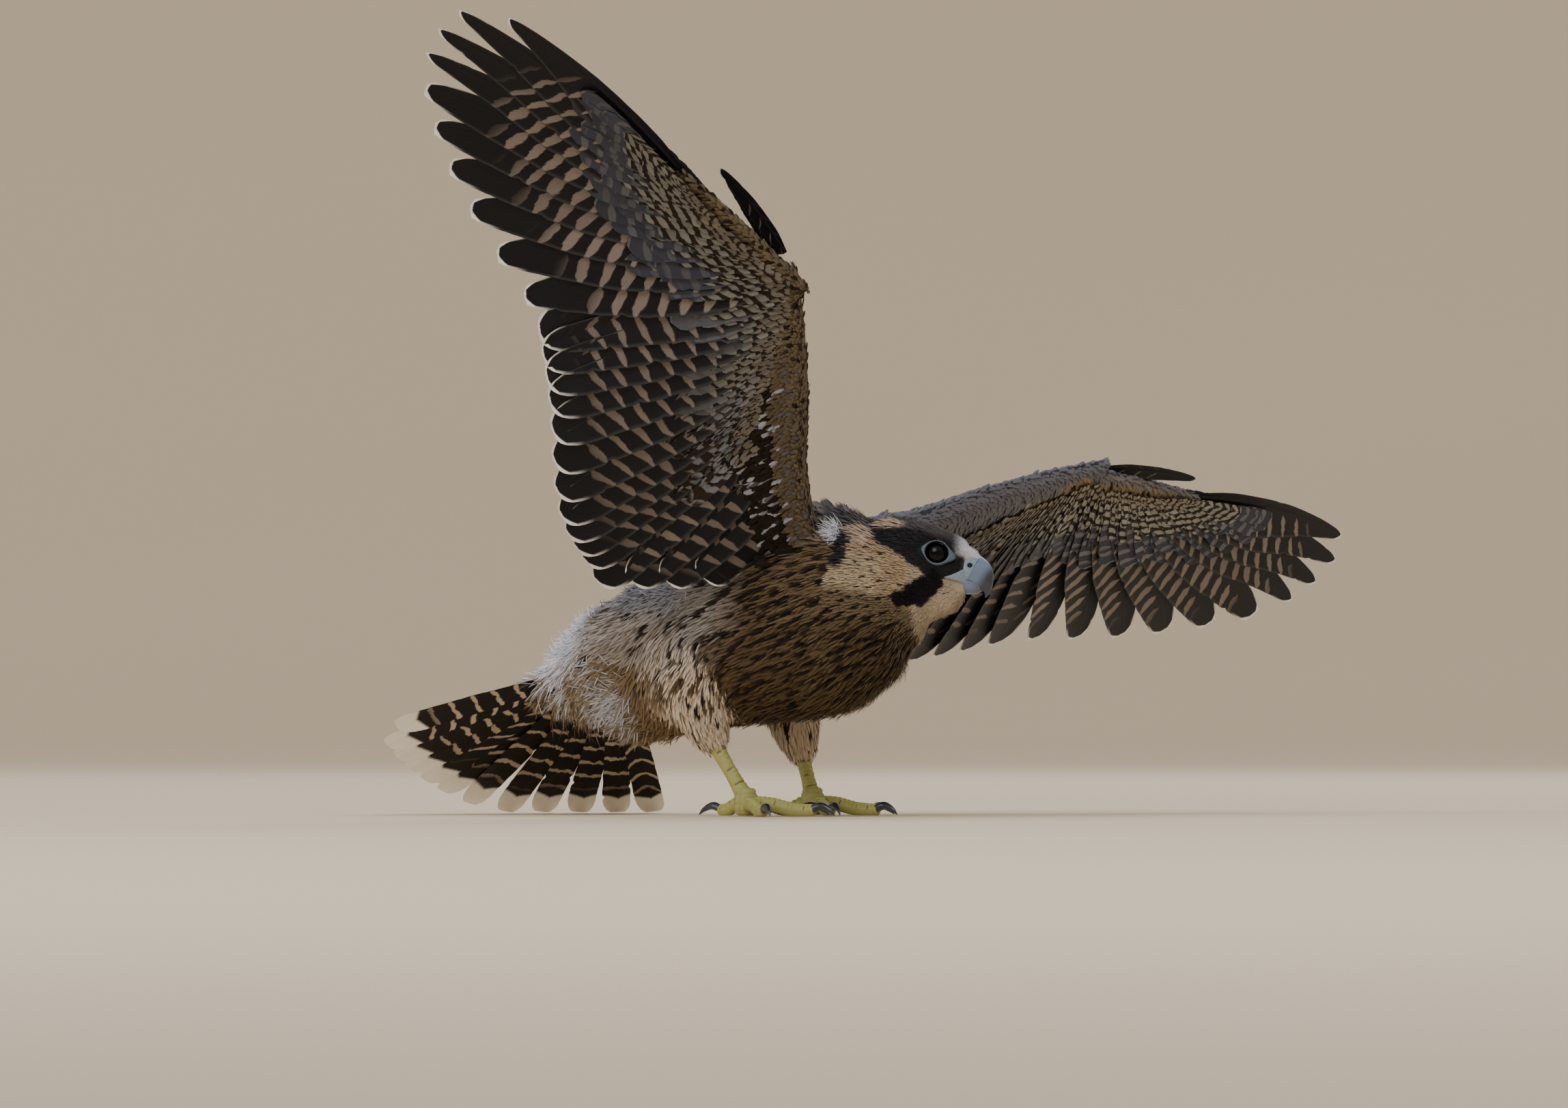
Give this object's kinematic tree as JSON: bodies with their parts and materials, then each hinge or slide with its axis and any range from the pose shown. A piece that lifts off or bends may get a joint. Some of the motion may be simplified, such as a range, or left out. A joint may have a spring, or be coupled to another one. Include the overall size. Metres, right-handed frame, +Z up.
{
  "type": "young peregrine falcon",
  "caption": "Life-size young peregrine falcon, a bird of prey, standing with both wings raised and the barred tail fanned out on the ground.",
  "frame": {"origin": "centre of the flat under the right foot, on the ground", "axes": "+X the way the body faces, +Y the bird's left, +Z up"},
  "size_m": [0.3432, 0.7241, 0.4108],
  "materials": {
    "plumage": "matte, soft feathers",
    "flight_feathers": "satin, smooth vanes",
    "tail_feathers": "satin, smooth vanes",
    "bill_horn": "smooth horn, half gloss",
    "bare_skin": "fine bare skin, satin",
    "eye": "wet, glossy",
    "leg_scales": "scaled skin, satin",
    "claw_horn": "smooth horn, glossy"
  },
  "bodies": {
    "root": {"rump": "plumage", "torso": "plumage", "neck": "plumage", "head": "plumage", "cere": "bare_skin", "bill_upper": "bill_horn", "bill_lower": "bill_horn", "eye_left": "eye", "lid_left": "bare_skin", "eye_right": "eye", "lid_right": "bare_skin", "wing_arm_right": "flight_feathers", "wing_hand_right": "flight_feathers", "alula_right": "flight_feathers", "wing_arm_left": "flight_feathers", "wing_hand_left": "flight_feathers", "alula_left": "flight_feathers", "tail": "tail_feathers", "thigh_right": "plumage", "tarsus_right": "leg_scales", "foot_right": "leg_scales", "claw_inner_right": "claw_horn", "claw_middle_right": "claw_horn", "claw_outer_right": "claw_horn", "claw_hind_right": "claw_horn", "thigh_left": "plumage", "tarsus_left": "leg_scales", "foot_left": "leg_scales", "claw_inner_left": "claw_horn", "claw_middle_left": "claw_horn", "claw_outer_left": "claw_horn", "claw_hind_left": "claw_horn"}
  },
  "joints": []
}
